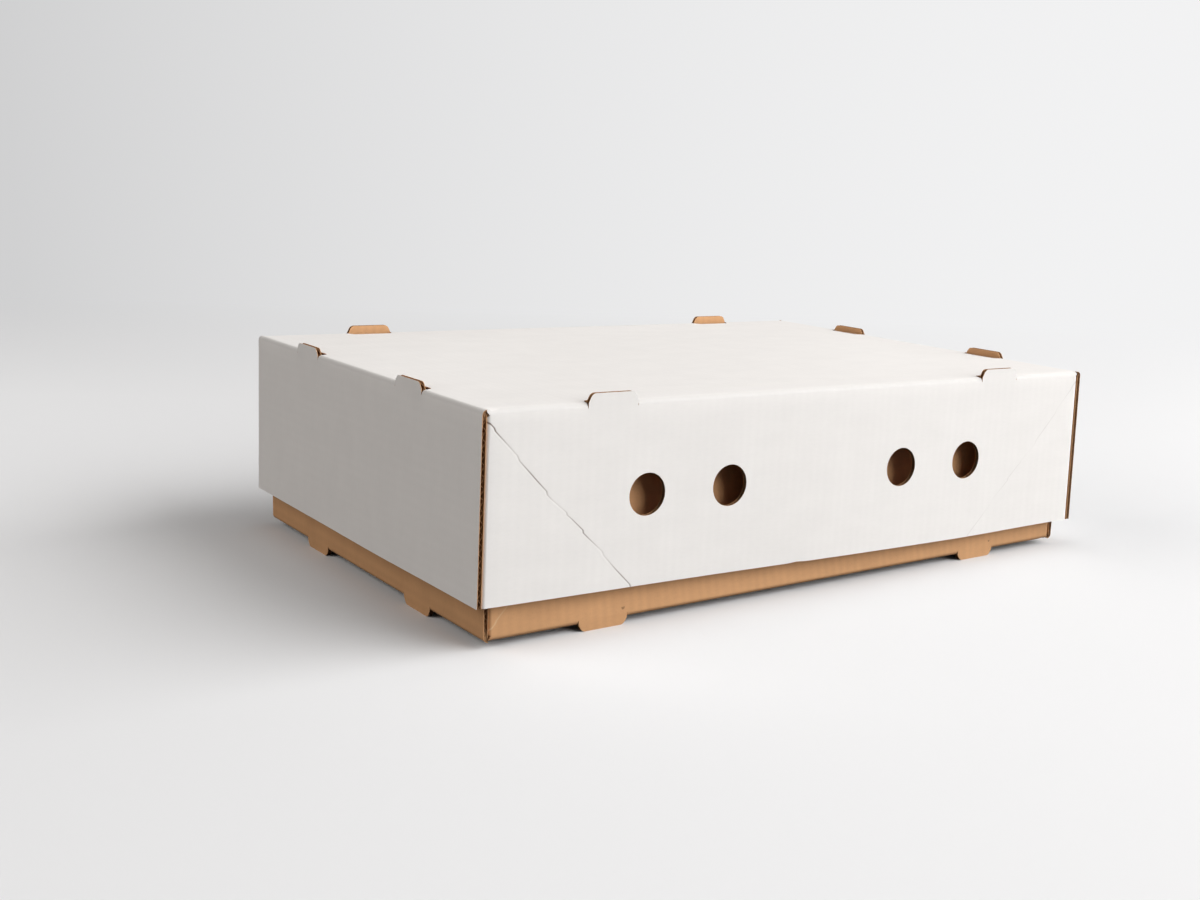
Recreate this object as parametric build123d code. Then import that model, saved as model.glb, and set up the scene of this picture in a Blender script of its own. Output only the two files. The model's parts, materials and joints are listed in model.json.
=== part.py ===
"""Meat carton: a corrugated tray with a full telescope lid, each folded from one sheet.

Frame: millimetres, +Z up, +X to the right along the long front wall, +Y to the back.
The origin is on the floor, under the middle of the carton. The tray stands on eight
feet, and the lid sits on it a little crooked: its right end is down on the rim and its
left end rides higher.
"""
from build123d import *
from math import cos, pi, radians, sin, tan
import os

# The board is C flute: two liners with a fluted sheet between them
BOARD = 3.5
FOLD_RADIUS = 4.2
CORNER_RADIUS = 4.6
LINER = 0.4
MEDIUM = 0.4
FLUTE_PITCH = 7.9
FLUTE_DEPTH = 3.0

# The lid outside, without its tabs
LID_LENGTH = 600.0
LID_WIDTH = 400.0
LID_HEIGHT = 136.2

# The tray, which the lid slips over
TRAY_HEIGHT = 148.0
END_PLAY = 1.7
SIDE_PLAY = 4.4

# How the lid sits on the tray
LID_TIP = 1.17
SEAT_GAP = 0.3

# Glued corner flaps, each folded back from a long wall inside a short one
FLAP_LENGTH = 95.0
FLAP_SETBACK = 3.0

# Stacking tabs of the lid and feet of the tray, cut from the panels they stand on
TAB_BASE = 42.5
TAB_TOP = 36.0
TAB_CORNER = 2.6
TAB_KERF = 0.4
TAB_HEIGHT = 6.6
TAB_X = 196.0
FOOT_HEIGHT = 5.1
FOOT_X = 193.0
SIDE_TAB_Y = 91.5

# Air holes
VENT_DIAMETER = 31.5
LID_VENT_X = (88.0, 163.2)
LID_VENT_DEPTH = 68.8
TRAY_VENT_X = 88.0
TRAY_VENT_HEIGHT = 107.0

# Diagonal creases of the long walls, along which the glued corners fold flat
CREASE_RUN = 0.927
CREASE_WIDTH = 1.8
CREASE_DEPTH = 0.5

# Sizes that follow from those above
TRAY_LENGTH = LID_LENGTH - 4 * BOARD - 2 * END_PLAY
TRAY_WIDTH = LID_WIDTH - 2 * BOARD - 2 * SIDE_PLAY


def u_section(span, height):
    """A panel with two upright walls, seen from the end, with round folds."""
    outer = Pos(0, height) * Rectangle(span, 2 * height)
    outer = fillet(outer.vertices().sort_by(Axis.Y)[:2], FOLD_RADIUS)
    inner = Pos(0, height + BOARD) * Rectangle(span - 2 * BOARD, 2 * height)
    inner = fillet(inner.vertices().sort_by(Axis.Y)[:2], FOLD_RADIUS - BOARD)
    above = Pos(0, 2 * height) * Rectangle(2 * span, 2 * height)
    return outer - inner - above


def long_walls(length, width, height):
    """The panel and both long walls, whose ends turn the corner into the flaps."""
    between = length - 2 * BOARD
    shell = extrude(Plane.YZ * u_section(width, height), between / 2, both=True)
    outline = RectangleRounded(between, width, CORNER_RADIUS)
    shell = shell & extrude(outline, height)
    inside = RectangleRounded(between - 2 * BOARD, width - 2 * BOARD, CORNER_RADIUS - BOARD)
    flaps = outline - inside - Rectangle(length, width - 2 * FLAP_LENGTH)
    return shell + Pos(0, 0, FLAP_SETBACK + BOARD) * extrude(flaps, height - FLAP_SETBACK - BOARD)


def short_walls(length, width, height):
    """Both short walls with their folds, raw edged and as wide as the whole sheet."""
    shell = extrude(Plane.XZ * u_section(length, height), width / 2, both=True)
    return shell - Box(length - 2 * FOLD_RADIUS, 2 * width, 3 * height)


def tab_outline(foot, base, top, height):
    """A tab that rises from the line y = 0, with a straight foot below it."""
    outline = Polygon(
        (-base / 2, -foot), (base / 2, -foot), (base / 2, 0),
        (top / 2, height), (-top / 2, height), (-base / 2, 0), align=None)
    return fillet(outline.vertices().sort_by(Axis.Y)[-2:], TAB_CORNER)


def tab_places(length, width, tab_x):
    """Where the tabs stand on the sheet's outer faces, each turned to face outwards."""
    places = [Pos(x, side * width / 2) * Rot(0, 0, 90 + side * 90)
              for side in (-1, 1) for x in (-tab_x, tab_x)]
    places += [Pos(side * length / 2, y) * Rot(0, 0, side * 90)
               for side in (-1, 1) for y in (-SIDE_TAB_Y, SIDE_TAB_Y)]
    return places


def slot(height):
    """The hole that a tab leaves in its panel and fold, as long as the tab was in the flat sheet."""
    fold_length = (FOLD_RADIUS - BOARD / 2) * pi / 2
    reach = 2 * FOLD_RADIUS + height + TAB_KERF - fold_length
    outline = tab_outline(2 * BOARD, TAB_BASE, TAB_TOP, reach - BOARD)
    return Pos(0, BOARD, -BOARD) * extrude(outline, BOARD + FOLD_RADIUS)


def tab(height):
    """A tab, in the plane of its wall and standing out past the panel."""
    outline = tab_outline(FOLD_RADIUS, TAB_BASE - 2 * TAB_KERF, TAB_TOP - 2 * TAB_KERF, height)
    return extrude(Plane.XZ * Rot(180, 0, 0) * outline, BOARD)


def crease_grooves(length, width, height):
    """Shallow grooves from the panel's corners across each long wall, at both ends."""
    start = length / 2 - BOARD
    reach = 2 * height
    grooves = []
    for side in (-1, 1):
        for end in (-1, 1):
            direction = Vector(-end * CREASE_RUN, 0, 1).normalized()
            plane = Plane(origin=(end * start, side * width / 2, 0), z_dir=direction, x_dir=(0, 1, 0))
            cut = Rot(0, 0, 45) * Rectangle(CREASE_DEPTH * 2 ** 0.5, CREASE_DEPTH * 2 ** 0.5)
            cut = scale(cut, (1, CREASE_WIDTH / 2 / CREASE_DEPTH, 1))
            grooves.append(extrude(plane * cut, reach))
    return grooves


def flute_mouths(height):
    """The open ends of the flutes in an upright raw edge, whose outer liner is on x = 0."""
    half_base = FLUTE_PITCH / 2 - MEDIUM
    crest = BOARD - 2 * LINER - MEDIUM
    outward = Polygon((0, -half_base), (0, half_base), (crest, 0), align=None)
    inward = Pos(crest + MEDIUM) * Rot(0, 0, 180) * outward
    count = int((height - FOLD_RADIUS) / FLUTE_PITCH)
    mouths = []
    for number in range(count):
        rise = FOLD_RADIUS + FLUTE_PITCH * (number + 0.5)
        mouths.append(Pos(LINER, rise) * outward)
        if number + 1 < count:
            mouths.append(Pos(LINER, rise + FLUTE_PITCH / 2) * inward)
    return mouths


def raw_ends(length, width, height):
    """Cutters that open the flutes at both raw ends of both short walls."""
    plane = Plane(origin=(-length / 2, -width / 2, 0), x_dir=(1, 0, 0), z_dir=(0, -1, 0))
    front_left = [extrude(plane * mouth, FLUTE_DEPTH, dir=(0, 1, 0)) for mouth in flute_mouths(height)]
    left = front_left + [mirror(cutter, Plane.XZ) for cutter in front_left]
    return left + [mirror(cutter, Plane.YZ) for cutter in left]


def vent(x, y, height):
    """A round cutter through the long wall at y."""
    return Pos(x, y, height) * Rot(90, 0, 0) * Cylinder(VENT_DIAMETER / 2, 6 * BOARD)


def folded_sheet(length, width, height, tab_height, tab_x, vents):
    """One blank folded up into an open box, with its tabs below the panel."""
    sheet = long_walls(length, width, height) + short_walls(length, width, height)
    for place in tab_places(length, width, tab_x):
        sheet = sheet - place * slot(tab_height) + place * tab(tab_height)
    sheet = sheet - crease_grooves(length, width, height) - raw_ends(length, width, height)
    return sheet - [vent(x, side * width / 2, z) for x, side, z in vents]


def tray():
    """The kraft tray, standing on its feet."""
    vents = [(TRAY_VENT_X, -1, TRAY_VENT_HEIGHT), (-TRAY_VENT_X, 1, TRAY_VENT_HEIGHT)]
    sheet = folded_sheet(TRAY_LENGTH, TRAY_WIDTH, TRAY_HEIGHT, FOOT_HEIGHT, FOOT_X, vents)
    return Pos(0, 0, FOOT_HEIGHT) * sheet


def lid_place():
    """The tipped lid's place: its right end just clears the rim, its sides the tray's ends."""
    rim = FOOT_HEIGHT + TRAY_HEIGHT
    tip = radians(LID_TIP)
    top = rim + SEAT_GAP + BOARD / cos(tip) + TRAY_LENGTH / 2 * tan(tip)
    depth_at_left_end = BOARD + TRAY_LENGTH * sin(tip)
    shift = (LID_HEIGHT + depth_at_left_end) / 2 * sin(tip)
    return Pos(shift, 0, top) * Rot(0, LID_TIP, 0)


def lid():
    """The lid, which is the same kind of sheet turned upside down."""
    vents = [(x * end, side, LID_VENT_DEPTH)
             for x in LID_VENT_X for end in (-1, 1) for side in (-1, 1)]
    sheet = folded_sheet(LID_LENGTH, LID_WIDTH, LID_HEIGHT, TAB_HEIGHT, TAB_X, vents)
    return lid_place() * Rot(180, 0, 0) * sheet


def main():
    os.makedirs("parts", exist_ok=True)
    export_step(tray(), "parts/tray.step")
    export_step(lid(), "parts/lid.step")


main()
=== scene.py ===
"""Meat carton: the looks of a corrugated tray and its telescope lid, around the packed model.

Each sheet is drawn flat as its blank, meshed with its raw edges hollowed between the
liners, and folded up by one rule. Paper grain, flutes and creases are laid out on the
flat blank, so they follow the board round its folds.
"""
from functools import partial
import json
import math

import bpy
import numpy as np
from bpy.props import FloatProperty, FloatVectorProperty, PointerProperty
from mathutils import Matrix, Vector
from mathutils.geometry import delaunay_2d_cdt
from mathutils.kdtree import KDTree


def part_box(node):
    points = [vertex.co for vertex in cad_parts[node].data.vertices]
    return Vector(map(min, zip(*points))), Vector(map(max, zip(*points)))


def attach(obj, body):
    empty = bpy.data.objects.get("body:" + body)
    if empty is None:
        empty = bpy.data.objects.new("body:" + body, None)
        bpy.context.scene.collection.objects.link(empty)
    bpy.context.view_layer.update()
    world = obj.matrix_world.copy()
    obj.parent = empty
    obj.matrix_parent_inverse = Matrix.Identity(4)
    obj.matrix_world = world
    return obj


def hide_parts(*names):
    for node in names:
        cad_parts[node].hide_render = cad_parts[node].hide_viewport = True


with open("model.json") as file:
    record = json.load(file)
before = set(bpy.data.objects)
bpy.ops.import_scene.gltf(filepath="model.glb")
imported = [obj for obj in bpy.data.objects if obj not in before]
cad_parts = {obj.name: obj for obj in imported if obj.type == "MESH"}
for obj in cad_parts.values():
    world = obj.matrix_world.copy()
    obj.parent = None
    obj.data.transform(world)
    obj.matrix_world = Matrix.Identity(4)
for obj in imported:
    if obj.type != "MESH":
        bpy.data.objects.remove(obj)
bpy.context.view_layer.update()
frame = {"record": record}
RECORD = frame["record"]

bl_info = {
    "name": "Meat carton",
    "version": (1, 0, 0),
    "blender": (4, 5, 0),
    "location": "3D View > Sidebar > Carton",
    "description": "Folds up a corrugated tray and its telescope lid",
    "category": "Add Mesh",
}

MM = 0.001
PHOTO_WIDTH = 1200
SENSOR_WIDTH = 36.0

# Which part of the fold rule a point of the blank follows
PANEL_AND_LONG, SHORT, TAB = 0, 1, 2

# Steps between the points of a mesh: along cuts, round folds, over the panels and in the flutes
CUT_STEP, FOLD_STEP, CELL, FLUTE_STEP = 3 * MM, 0.7 * MM, 9 * MM, 1 * MM

# Nothing is meshed closer to a cut than this, and points this close are the same
CLEAR_OF_CUTS, TINY, ROUNDING = 0.32 * MM, 0.01 * MM, 1e-9

# Rows of points beside the diagonal creases: how far off each is, in mm
CREASE_ROWS = (-3.6, -2.4, -1.75, -1.25, -0.85, -0.45, 0, 0.45, 0.9, 1.5, 2.6)

# How far the close rows at a folded corner reach past its ends, and down the wall
TURN_MARGIN, TURN_REACH, TURN_STEP = 1 * MM, 14 * MM, 0.75 * MM

# Where the flute ribbon has its rows, as shares of the open depth
RIBBON_SHARES = (0.02, 0.25, 0.55, 1.0)

# How sharply an offset edge may run out at a corner: smaller reaches further
MITRE_LIMIT = 0.55

# How much a leaning end lifts for what it swings out
LEAN_LIFT = 0.45

# A kink in the lid's lower front edge: places along it, and how deep each is
LID_KINK = ((-26 * MM, 0), (-17 * MM, 0.65 * MM), (-9 * MM, 0.1 * MM), (-4 * MM, 0))

# An opening's box fits inside its round hole, with this to spare
VENT_SPARE = 0.3 * MM

# One unit of the UV map on the flat blank
UV_UNIT = 100 * MM

# The paper's textures on the flat blank: scale, detail and stretch of each
CLOUD, FIBRE = (1.0, 5, (2.2, 5.5, 1)), (5.0, 6, (3.0, 11.0, 1))
WASH, FLECK = (1.0, 3, (6.0, 1.4, 1)), (90.0, 2, (1.0, 0.55, 1))

# The paper: how much painted shade darkens it at a fold, to tone down the fold's highlight, and
# where its crack runs beside the crease, in mm
PAINTED_FOLD_SHADE, CRACK_OFF, CRACK_WIDTH = 0.2, 0.25, 0.42


def mount(name):
    """A mount of the packed record."""
    return next(m for m in RECORD["mounts"] if m["name"] == name)


def vent_boxes(prefix):
    """Centre and half size of each opening whose name starts with prefix."""
    found = []
    for opening in RECORD["physics"]["openings"]:
        if opening["name"].startswith(prefix) and "vent" in opening["name"]:
            low, high = (Vector(corner) for corner in opening["box_m"])
            found.append(((low + high) / 2, (high - low) / 2))
    return found


TRAY_LOW, TRAY_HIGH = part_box("tray")
LID_LOW, LID_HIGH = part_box("lid")
LID_TOP = Vector(mount("stack_top")["pos_m"])
LID_AXIS = Vector(mount("stack_top")["axis"])
LID_TIP = math.atan2(LID_AXIS.x, LID_AXIS.z)


def length_property(name, description, default, low=0.0, high=1.0):
    """A size in metres."""
    return FloatProperty(name=name, description=description, default=default, min=low,
                         max=high, precision=5, subtype="DISTANCE", unit="LENGTH")


def angle_property(name, description, degrees):
    """An angle, given in degrees."""
    return FloatProperty(name=name, description=description, default=math.radians(degrees),
                         subtype="ANGLE", unit="ROTATION")


def strength_property(name, description, default, high=10, unit="NONE"):
    """The strength of a light, from 0 up."""
    return FloatProperty(name=name, description=description, default=default, min=0,
                         max=high, unit=unit)


def colour_property(name, description, default):
    """A linear colour."""
    return FloatVectorProperty(name=name, description=description, default=default,
                               size=3, min=0.0, max=1.0, subtype="COLOR")


class CartonBoard(bpy.types.PropertyGroup):
    """The corrugated board that both sheets are cut from"""
    thickness: length_property("Board", "Thickness of the board", 3.5 * MM)
    liner: length_property("Liner", "Thickness of each liner", 0.38 * MM)
    medium: length_property("Medium", "Thickness of the fluted sheet", 0.3 * MM)
    pitch: length_property("Flute pitch", "From one flute to the next", 7.9 * MM)
    fold_radius: length_property("Fold radius", "Outside of the folds at the panel", 3.7 * MM)
    corner_radius: length_property("Corner radius", "Outside of the glued corners", 3.0 * MM)
    edge_depth: length_property("Open edge", "How deep a raw edge along the flutes is open", 6 * MM)
    flute_depth: length_property("Open flutes", "How deep the flutes' own ends are open", 26 * MM)
    slit_depth: length_property("Open slit", "The same at the tabs and their slots", 4.4 * MM)
    flap_length: length_property("Flap", "Length of the glued corner flaps", 95 * MM)
    kerf: length_property("Kerf", "Gap that the knife leaves round a tab", 0.4 * MM)
    tab_base: length_property("Tab base", "Width of a tab where it leaves the fold", 42.5 * MM)
    tab_top: length_property("Tab top", "Width of a tab at its end", 36 * MM)
    tab_corner: length_property("Tab corner", "Radius of a tab's corners", 4.6 * MM)
    side_tab: length_property("Side tabs", "From the middle to the short sides' tabs", 91.5 * MM)
    crease_depth: length_property("Crease", "Depth of the diagonal creases", 0.13 * MM)


class CartonLid(bpy.types.PropertyGroup):
    """The lid"""
    length: length_property("Length", "Outside length of the lid", 600 * MM)
    width: length_property("Width", "Outside width of the lid", 400 * MM)
    height: length_property("Height", "From the top panel to the free edges", 136.2 * MM)
    tab_height: length_property("Tab height", "How far the tabs stand up", 6.6 * MM)
    side_height: length_property("Side tab height", "The same for the short sides", 5.2 * MM)
    tab_x: length_property("Tab place", "From the middle to the long sides' tabs", 196 * MM)
    vent_depth: length_property("Vent depth", "From the top panel to the air holes", 68.8 * MM)
    lean: length_property("Lean", "How far the right end leans out at its free edge", 5.5 * MM)
    paper: colour_property("White liner", "Colour of the outer liner", (0.82, 0.793, 0.768))


class CartonTray(bpy.types.PropertyGroup):
    """The tray"""
    foot_height: length_property("Foot height", "How far the feet stand down", 5.1 * MM)
    foot_x: length_property("Foot place", "From the middle to the long sides' feet", 193 * MM)
    bow: length_property("Bow", "How far the long walls bow in at their free edges", 23 * MM)
    paper: colour_property("Kraft liner", "Colour of the kraft paper", (0.59, 0.322, 0.157))


class CartonStage(bpy.types.PropertyGroup):
    """The floor, the lamps and the camera"""
    camera: FloatVectorProperty(name="Camera", description="Where the camera stands",
                                default=(-0.76058, -1.02378, 0.34104), size=3, subtype="XYZ",
                                unit="LENGTH")
    yaw: angle_property("Yaw", "Camera's turn to the right of +Y", 33.9937)
    pitch: angle_property("Pitch", "Camera's tilt down", 11.7931)
    roll: angle_property("Roll", "Camera's lean", 1.5809)
    focal: FloatProperty(name="Focal length", description="In pixels of the photograph's width",
                         default=1466.07, min=100, max=5000)
    floor: colour_property("Floor", "Colour of the floor", (0.762, 0.762, 0.767))
    # The backdrop's glow runs from dim on the left to pale on the right: painted shade for the
    # softbox's falloff
    dim: colour_property("Dim backdrop", "Its colour on the left", (0.635, 0.635, 0.64))
    pale: colour_property("Pale backdrop", "Its colour on the right", (0.89, 0.89, 0.895))
    bounce: strength_property("Bounce", "Light that the floor throws back up", 0.05, 1)
    key: strength_property("Key", "Softbox at the right front", 510, 5000, "POWER")
    overhead: strength_property("Overhead", "Light from above", 0.5)
    fill: strength_property("Fill", "Light from the left", 1.34)
    room: strength_property("Room", "Light from all round", 0.12)


class Sheet:
    """The sizes of one sheet, and the rule that folds it.

    bow, lean and sway bend its walls at their free edges, and nick is a kink in one edge.
    """

    def __init__(self, board, length, width, height, tab_height, tab_x, vents, place,
                 bow=0, lean=0, sway=1, nick=(), side_height=None):
        self.board, self.length, self.width, self.height = board, length, width, height
        self.bow, self.lean, self.sway, self.nick = bow, lean, sway, nick
        self.tab_height, self.tab_x, self.vents, self.place = tab_height, tab_x, vents, place
        self.side_height = side_height or tab_height
        half_board = board.thickness / 2
        self.fold_mid = board.fold_radius - half_board
        self.fold_length = self.fold_mid * math.pi / 2
        self.corner_mid = board.corner_radius - half_board
        self.corner_length = self.corner_mid * math.pi / 2
        self.u_fold = length / 2 - board.fold_radius
        self.v_fold = width / 2 - board.fold_radius
        self.u_inside = length / 2 - board.thickness
        self.u_corner = self.u_inside - board.corner_radius
        self.v_corner = width / 2 - board.corner_radius
        rise = height - board.fold_radius
        self.u_end = self.u_fold + self.fold_length + rise
        self.v_end = self.v_fold + self.fold_length + rise
        self.u_flap = self.u_corner + self.corner_length + board.flap_length - board.corner_radius

    def wall_v(self, drop):
        """Where a height above the panel's outer face lies on the blank of a long wall."""
        return self.v_fold + self.fold_length + drop - self.board.fold_radius

    def bend(self, past, out):
        """Folds a strip up, from its distance past the fold's start and its outward offset."""
        turn = np.clip(past / self.fold_mid, 0, math.pi / 2)
        reach = self.fold_mid + out
        along = np.minimum(past, 0) + reach * np.sin(turn)
        up = self.board.fold_radius - reach * np.cos(turn)
        return along, up + np.maximum(past - self.fold_length, 0)

    def fold(self, u, v, out, family):
        """Points of the blank, offset outwards by out, as an array in the shared frame."""
        short, tab = family == SHORT, family == TAB
        out = out + relief(self, u, v, family)
        side_u, side_v = np.where(u < 0, -1.0, 1.0), np.where(v < 0, -1.0, 1.0)
        au, av = np.abs(u), np.abs(v)
        past_v, past_u = av - self.v_fold, au - self.u_fold
        along_v, up_v = self.bend(past_v, out)
        along_u, up_u = self.bend(past_u, out)
        x, y, z = au.copy(), self.v_fold + along_v, up_v
        on_wall = past_v > self.fold_length - ROUNDING
        turned = on_wall & (au > self.u_corner) & ~short & ~tab
        turn = np.clip((au - self.u_corner) / self.corner_mid, 0, math.pi / 2)
        beyond = np.maximum(au - self.u_corner - self.corner_length, 0)
        radius = self.corner_mid + out
        x = np.where(turned, self.u_corner + radius * np.sin(turn), x)
        y = np.where(turned, self.v_corner + radius * np.cos(turn) - beyond, y)
        x = np.where(short, self.u_fold + along_u, x)
        y = np.where(short, av, y)
        z = np.where(short, up_u, z)
        long_tab = tab & (past_v > past_u)
        side_tab = tab & ~long_tab
        straight = self.board.fold_radius - self.fold_length
        y = np.where(long_tab, self.v_fold + self.fold_mid + out, y)
        z = np.where(long_tab, past_v + straight, z)
        x = np.where(side_tab, self.u_fold + self.fold_mid + out, x)
        y = np.where(side_tab, av, y)
        z = np.where(side_tab, past_u + straight, z)
        far = np.clip(4 * x * side_u / self.length - 1, 0, 1)
        swing = self.lean * far * far * (3 - 2 * far) * np.maximum(z, 0) / self.height
        points = np.stack([x * side_u + swing, y * side_v, z - swing * LEAN_LIFT,
                           np.ones_like(z)], -1)
        return (points @ np.array(self.place).T)[:, :3]


# The diagonal crease as it cracked: its run in from the corner at each depth, in mm
CREASE_DROPS = (0, 7.2, 17.4, 29.8, 47.2, 65.3, 80.5, 96.3, 108.6, 121.8, 148)
CREASE_RUNS = (-7, 0.2, 9.4, 20.6, 36.4, 52.7, 69.6, 84.6, 97.0, 108.9, 134)

# Its steps: how long each is, how far it jumps, and the smooth run before the first
CREASE_STEP, CREASE_JUMP, CREASE_CALM = 19 * MM, 0.8 * MM, 12 * MM

# Its profile: the groove, and the lower ridge beside it with its distance
GROOVE_WIDTH, RIDGE_SHARE, RIDGE_OFF = 0.5 * MM, 0.35, 1 * MM


def crease_line(drop):
    """How far in from the corner the stepped diagonal crease is, at a depth below the panel."""
    run = np.interp(drop / MM, CREASE_DROPS, CREASE_RUNS) * MM
    phase = drop / CREASE_STEP + 0.25 * np.sin(drop / (13 * MM))
    step = np.interp(phase - np.floor(phase), (0, 0.86, 1), (-1, 1, -1))
    return run + CREASE_JUMP * step * np.clip(drop / CREASE_CALM - 0.5, 0, 1)


def across_crease(sheet, u, v):
    """Signed distance from the crease, positive towards the middle of the wall."""
    drop = np.abs(v) - sheet.wall_v(0)
    return (sheet.u_inside - np.abs(u) - crease_line(drop)) / math.sqrt(2), drop


def on_crease(sheet, au, drop, family):
    """Whether a point of the blank is on a long wall, as far as the end of its round corner."""
    below_fold = drop > sheet.board.fold_radius + 0.2 * MM
    return (family == PANEL_AND_LONG) & below_fold & (au < sheet.u_corner + sheet.corner_length)


def swell(where, height, length, start=0.0):
    """A slow wave along the board, from its height and length in mm and its phase."""
    return height * MM * np.sin(where / (length * MM) + start)


def relief(sheet, u, v, family):
    """Outward bumps of the folded board: bowed walls, a slack panel and cracked creases."""
    au, av = np.abs(u), np.abs(v)
    drop_long = av - sheet.wall_v(0)
    drop_short = au - sheet.u_fold - sheet.fold_length + sheet.board.fold_radius
    panel = family == PANEL_AND_LONG
    on_long = panel & (av > sheet.v_fold + sheet.fold_length) & (au <= sheet.u_corner)
    on_short = (family == SHORT) & (au > sheet.u_fold + sheet.fold_length)
    inner = panel & (av < sheet.v_fold) & (au < sheet.u_fold)
    free_long = np.clip(drop_long / sheet.height, 0, 1)
    free_short = np.clip(drop_short / sheet.height, 0, 1)
    held = np.cos(np.clip(u / sheet.u_corner, -1, 1) * math.pi / 2)
    wave = swell(u, 0.7, 61, 0.6 * np.sign(v)) + swell(u, 0.5, 143)
    bump = np.where(on_long, (wave * held - sheet.bow * np.abs(held) ** 0.6) * free_long, 0)
    sway = sheet.sway * (0.62 * MM + swell(v, 0.42, 70, 0.9) + swell(v, 0.18, 31))
    bump = np.where(on_short, sway * free_short * np.cos(v / sheet.width * math.pi), bump)
    slack = swell(u, 0.8, 95, 0.4) * np.sin(v / (82 * MM) + 1.0)
    for past in (u / sheet.u_fold, v / sheet.v_fold):
        slack = slack * np.clip(1 - past ** 4, 0, 1)
    bump = np.where(inner, slack, bump)
    across, drop = across_crease(sheet, u, v)
    rough = 1 + 0.35 * np.sin(drop / (2.3 * MM)) * np.sin(drop / (7.1 * MM) + 0.5)
    valley = -np.exp(-((across / GROOVE_WIDTH) ** 2)) * rough
    ridge = RIDGE_SHARE * np.exp(-(((across + RIDGE_OFF) / GROOVE_WIDTH) ** 2)) * rough
    strength = sheet.board.crease_depth * (0.62 - 0.38 * np.sign(u))
    return np.where(on_crease(sheet, au, drop, family), bump + (valley + ridge) * strength, bump)


def crack_and_shade_strength(sheet, u, v, family):
    """How strongly the liner cracks beside the diagonal creases, and how much painted shade darkens
    the crack: 0 is whole, 1 fully open.
    """
    across, drop = across_crease(sheet, u, v)
    broken = 0.5 + 0.35 * np.sin(drop / (6.3 * MM)) + 0.5 * np.exp(-drop / (22 * MM))
    near = on_crease(sheet, np.abs(u), drop, family) & (np.abs(across) < 4 * MM)
    return np.where(near, broken * (0.6 - 0.4 * np.sign(u)), 0)


def crease_offset(sheet, u, v, family):
    """Distance from the diagonal crease in mm, which the paper's crack line and its painted shade
    are drawn from.
    """
    across, _ = across_crease(sheet, u, v)
    return np.where(family == PANEL_AND_LONG, np.clip(across / MM, -9, 9), 9)


def stretch(sheet, u, v, family):
    """How much painted shade darkens the liner round a fold, to tone down its highlight, from 0 to
    1.
    """
    past = np.where(family == SHORT, np.abs(u) - sheet.u_fold, np.abs(v) - sheet.v_fold)
    return np.where(family == TAB, 0, np.sin(np.clip(past / sheet.fold_length, 0, 1) * math.pi))


def rounded(corner, before, after, radius, steps=4):
    """Points of an arc that rounds off a corner between two neighbours."""
    corner, before, after = (np.array(p, float) for p in (corner, before, after))
    back = (before - corner) / np.linalg.norm(before - corner)
    ahead = (after - corner) / np.linalg.norm(after - corner)
    half = math.acos(np.clip(back @ ahead, -1, 1)) / 2
    middle = (back + ahead) / np.linalg.norm(back + ahead)
    centre = corner + middle * radius / math.sin(half)
    first, last = (corner + way * radius / math.tan(half) - centre for way in (back, ahead))
    swing = math.atan2(first[0] * last[1] - first[1] * last[0], first @ last)
    points = []
    for step in range(steps + 1):
        angle = swing * step / steps
        cos, sin = math.cos(angle), math.sin(angle)
        points.append(centre + np.array([[cos, -sin], [sin, cos]]) @ first)
    return points


def outer_loop(sheet):
    """The outline of the blank, all round."""
    start, lap = sheet.v_fold + sheet.fold_length, sheet.board.kerf
    # From the middle of a long wall to that of a short one, past the notch between them
    quarter = [
        (0, sheet.v_end),
        (sheet.u_flap, sheet.v_end),
        (sheet.u_flap, start + 10 * MM),
        (sheet.u_corner + sheet.corner_length, start + 3.0 * MM),
        (sheet.u_corner + 0.2 * MM, start + 0.3 * MM),
        (sheet.u_fold - lap, start - 0.8 * MM),
        (sheet.u_fold - lap, sheet.v_fold),
        (sheet.u_fold, sheet.v_fold),
        (sheet.u_fold, sheet.width / 2),
        (sheet.u_end, sheet.width / 2),
        (sheet.u_end, 0),
    ]
    back = quarter[-2::-1]
    loop = quarter + [(u, -v) for u, v in back] + [(-u, -v) for u, v in quarter[1:]]
    loop += [(-u, v) for u, v in back[:-1]]
    loop += [(u, sheet.v_end - depth) for u, depth in sheet.nick]
    return np.array(loop[::-1])


def tab_profile(sheet, height, inset, extra):
    """Half the outline of a tab: distances along the fold and past its start, from base to tip."""
    board = sheet.board
    level = sheet.fold_length - board.fold_radius
    base, top = board.tab_base / 2 - inset, board.tab_top / 2 - inset
    tip = level - height - extra
    arc = rounded((top, tip), (base, level), (0, tip), board.tab_corner)
    return [(base, sheet.fold_length), (base, level)] + [tuple(p) for p in arc]


def tab_rows(sheet):
    """The tabs along both kinds of wall: fold, place, whether they run along u, and height."""
    return ((sheet.v_fold, sheet.tab_x, True, sheet.tab_height),
            (sheet.u_fold, sheet.board.side_tab, False, sheet.side_height))


def tab_slits(sheet):
    """The thin cut round each tab: its slot's side, then the tab's own side."""
    slits = []
    for fold, across, along_u, height in tab_rows(sheet):
        slot_half = tab_profile(sheet, height, 0, sheet.board.kerf)
        tab_half = tab_profile(sheet, height, sheet.board.kerf, 0)
        slot = slot_half + [(-a, s) for a, s in slot_half[::-1]]
        tab = tab_half + [(-a, s) for a, s in tab_half[::-1]]
        for side in (-1, 1):
            for place in (-1, 1):
                points = [(a + place * across, side * (fold + s)) for a, s in slot + tab[::-1]]
                loop = np.array(points if along_u else [(q, p) for p, q in points])
                slits.append((loop, len(slot)))
    return slits


def vent_loops(sheet):
    """The round air holes of the long walls."""
    loops = []
    for u, side, drop, radius in sheet.vents:
        angles = np.linspace(0, 2 * math.pi, 72, endpoint=False)
        centre = side * sheet.wall_v(drop)
        loops.append(np.stack([u + radius * np.cos(angles), centre + radius * np.sin(angles)], -1))
    return loops


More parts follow.
